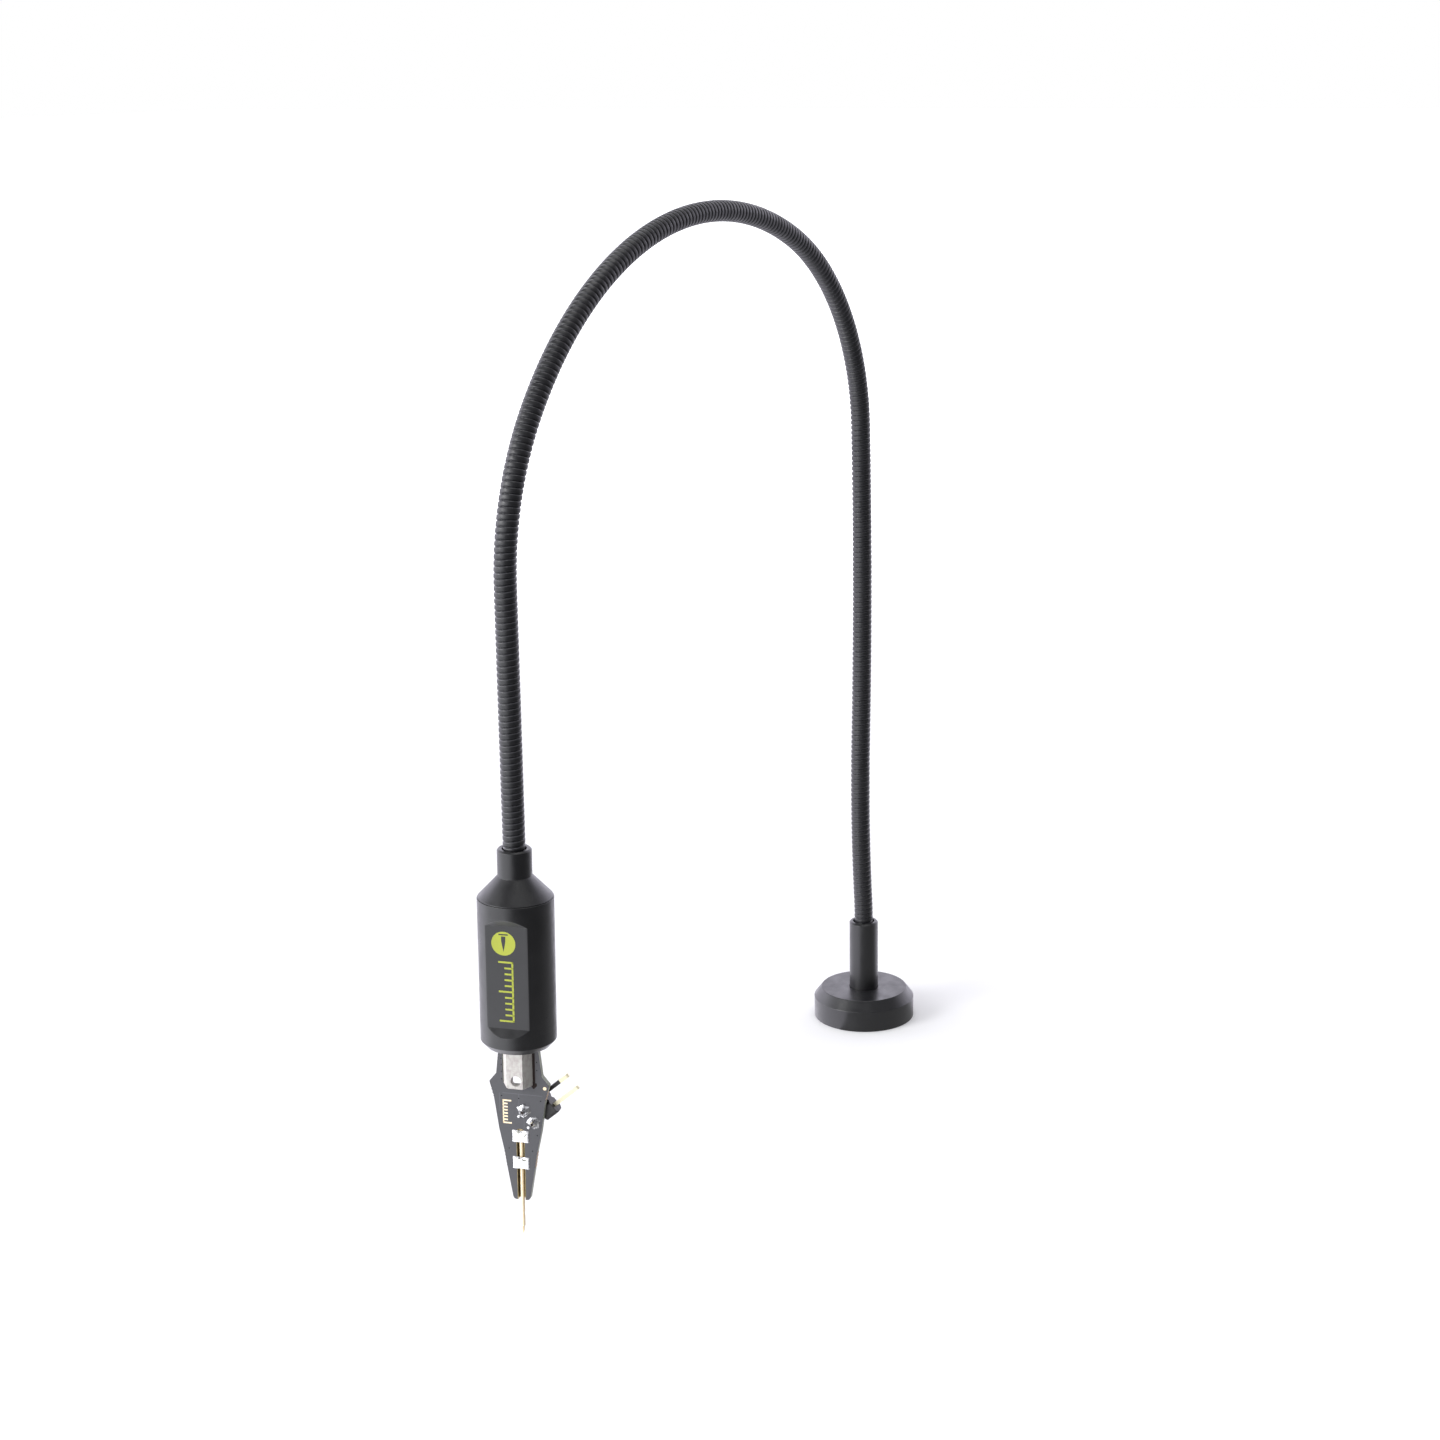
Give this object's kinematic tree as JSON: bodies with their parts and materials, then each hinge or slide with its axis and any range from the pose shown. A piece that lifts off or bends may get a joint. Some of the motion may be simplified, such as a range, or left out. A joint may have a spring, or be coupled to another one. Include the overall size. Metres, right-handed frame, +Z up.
{
  "type": "hands-free circuit board probe",
  "caption": "Bench test probe: magnetic foot, bendable wound arm, weighted head and sprung gold needle.",
  "frame": {"origin": "centre of the magnetic foot's flat underside", "axes": "+Z up, out of the foot; the arm arches over in the XZ plane, with the head towards -X"},
  "size_m": [0.1289, 0.02, 0.1651],
  "materials": {
    "turned_black": "matte black anodised turned metal",
    "arm_winding": "semi-matte black wound metal hose",
    "magnet_nickel": "nickel plated, ground face",
    "screw_steel": "zinc plated",
    "standoff_nickel": "nickel plated brass, satin",
    "board_mask": "black solder mask on fibreglass laminate",
    "gold_plate": "gold plated, satin",
    "pin_gold": "pale gold flash on square wire",
    "solder": "bright tin solder",
    "spring_steel": "fine spring wire",
    "header_plastic": "black moulded nylon"
  },
  "bodies": {
    "foot": {"foot_housing": "turned_black", "foot_magnet": "magnet_nickel", "foot_screw": "screw_steel", "stem_socket": "turned_black", "arm_section_01": "arm_winding"},
    "arm_02": {"arm_section_02": "arm_winding"},
    "arm_03": {"arm_section_03": "arm_winding"},
    "arm_04": {"arm_section_04": "arm_winding"},
    "arm_05": {"arm_section_05": "arm_winding"},
    "arm_06": {"arm_section_06": "arm_winding"},
    "arm_07": {"arm_section_07": "arm_winding"},
    "arm_08": {"arm_section_08": "arm_winding"},
    "arm_09": {"arm_section_09": "arm_winding"},
    "arm_10": {"arm_section_10": "arm_winding"},
    "arm_11": {"arm_section_11": "arm_winding"},
    "arm_12": {"arm_section_12": "arm_winding"},
    "arm_13": {"arm_section_13": "arm_winding"},
    "arm_14": {"arm_section_14": "arm_winding"},
    "arm_15": {"arm_section_15": "arm_winding"},
    "arm_16": {"arm_section_16": "arm_winding"},
    "head": {"arm_section_17": "arm_winding", "neck_cap": "turned_black", "weight_barrel": "turned_black", "hex_standoff": "standoff_nickel", "probe_board": "board_mask", "slot_lining": "gold_plate", "solder_pad_upper": "solder", "solder_pad_lower": "solder", "needle_sleeve": "gold_plate", "needle_spring": "spring_steel", "header_block": "header_plastic", "header_pin_upper": "pin_gold", "header_pin_lower": "pin_gold", "header_joint_upper": "solder", "header_joint_lower": "solder"},
    "needle": {"needle_plunger": "gold_plate"}
  },
  "joints": [
    {"name": "arm_bend_01", "type": "hinge", "parent": "foot", "child": "arm_02", "pos_m": [-0.0003, 0, 0.02599], "axis": [0, 1, 0], "range_deg": [-50, 50]},
    {"name": "arm_bend_02", "type": "hinge", "parent": "arm_02", "child": "arm_03", "pos_m": [-0.00123, 0, 0.04551], "axis": [1, 0, 0.0096], "range_deg": [-50, 50]},
    {"name": "arm_bend_03", "type": "hinge", "parent": "arm_03", "child": "arm_04", "pos_m": [-0.00078, 0, 0.06505], "axis": [0, -1, 0], "range_deg": [-50, 50]},
    {"name": "arm_bend_04", "type": "hinge", "parent": "arm_04", "child": "arm_05", "pos_m": [-0.00037, 0, 0.08458], "axis": [-1, 0, 0.0087], "range_deg": [-50, 50]},
    {"name": "arm_bend_05", "type": "hinge", "parent": "arm_05", "child": "arm_06", "pos_m": [-0.00044, 0, 0.10413], "axis": [0, 1, 0], "range_deg": [-50, 50]},
    {"name": "arm_bend_06", "type": "hinge", "parent": "arm_06", "child": "arm_07", "pos_m": [-0.00117, 0, 0.12365], "axis": [0.9921, 0, 0.1253], "range_deg": [-50, 50]},
    {"name": "arm_bend_07", "type": "hinge", "parent": "arm_07", "child": "arm_08", "pos_m": [-0.00787, 0, 0.14183], "axis": [0, -1, 0], "range_deg": [-50, 40]},
    {"name": "arm_bend_08", "type": "hinge", "parent": "arm_08", "child": "arm_09", "pos_m": [-0.02187, 0, 0.15523], "axis": [-0.5103, 0, -0.86], "range_deg": [-50, 50]},
    {"name": "arm_bend_09", "type": "hinge", "parent": "arm_09", "child": "arm_10", "pos_m": [-0.04013, 0, 0.16196], "axis": [0, 1, 0], "range_deg": [-35, 50]},
    {"name": "arm_bend_10", "type": "hinge", "parent": "arm_10", "child": "arm_11", "pos_m": [-0.05958, 0, 0.16269], "axis": [-0.1191, 0, 0.9929], "range_deg": [-50, 50]},
    {"name": "arm_bend_11", "type": "hinge", "parent": "arm_11", "child": "arm_12", "pos_m": [-0.07831, 0, 0.15738], "axis": [0, -1, 0], "range_deg": [-50, 35]},
    {"name": "arm_bend_12", "type": "hinge", "parent": "arm_12", "child": "arm_13", "pos_m": [-0.09449, 0, 0.14656], "axis": [0.6789, 0, -0.7343], "range_deg": [-50, 50]},
    {"name": "arm_bend_13", "type": "hinge", "parent": "arm_13", "child": "arm_14", "pos_m": [-0.10648, 0, 0.13124], "axis": [0, 1, 0], "range_deg": [-50, 50]},
    {"name": "arm_bend_14", "type": "hinge", "parent": "arm_14", "child": "arm_15", "pos_m": [-0.11179, 0, 0.11258], "axis": [-0.9975, 0, 0.0701], "range_deg": [-50, 50]},
    {"name": "arm_bend_15", "type": "hinge", "parent": "arm_15", "child": "arm_16", "pos_m": [-0.11208, 0, 0.09304], "axis": [0, -1, 0], "range_deg": [-50, 50]},
    {"name": "arm_bend_16", "type": "hinge", "parent": "arm_16", "child": "head", "pos_m": [-0.11229, 0, 0.07349], "axis": [0.9999, 0, -0.0105], "range_deg": [-50, 50]},
    {"name": "needle_press", "type": "slide", "parent": "head", "child": "needle", "axis": [0.0105, -0.0112, 0.9999], "range_m": [0, 0.0014], "stiffness_N_per_m": 350, "springref_m": -0.00115, "deforming": ["needle_spring"]}
  ]
}
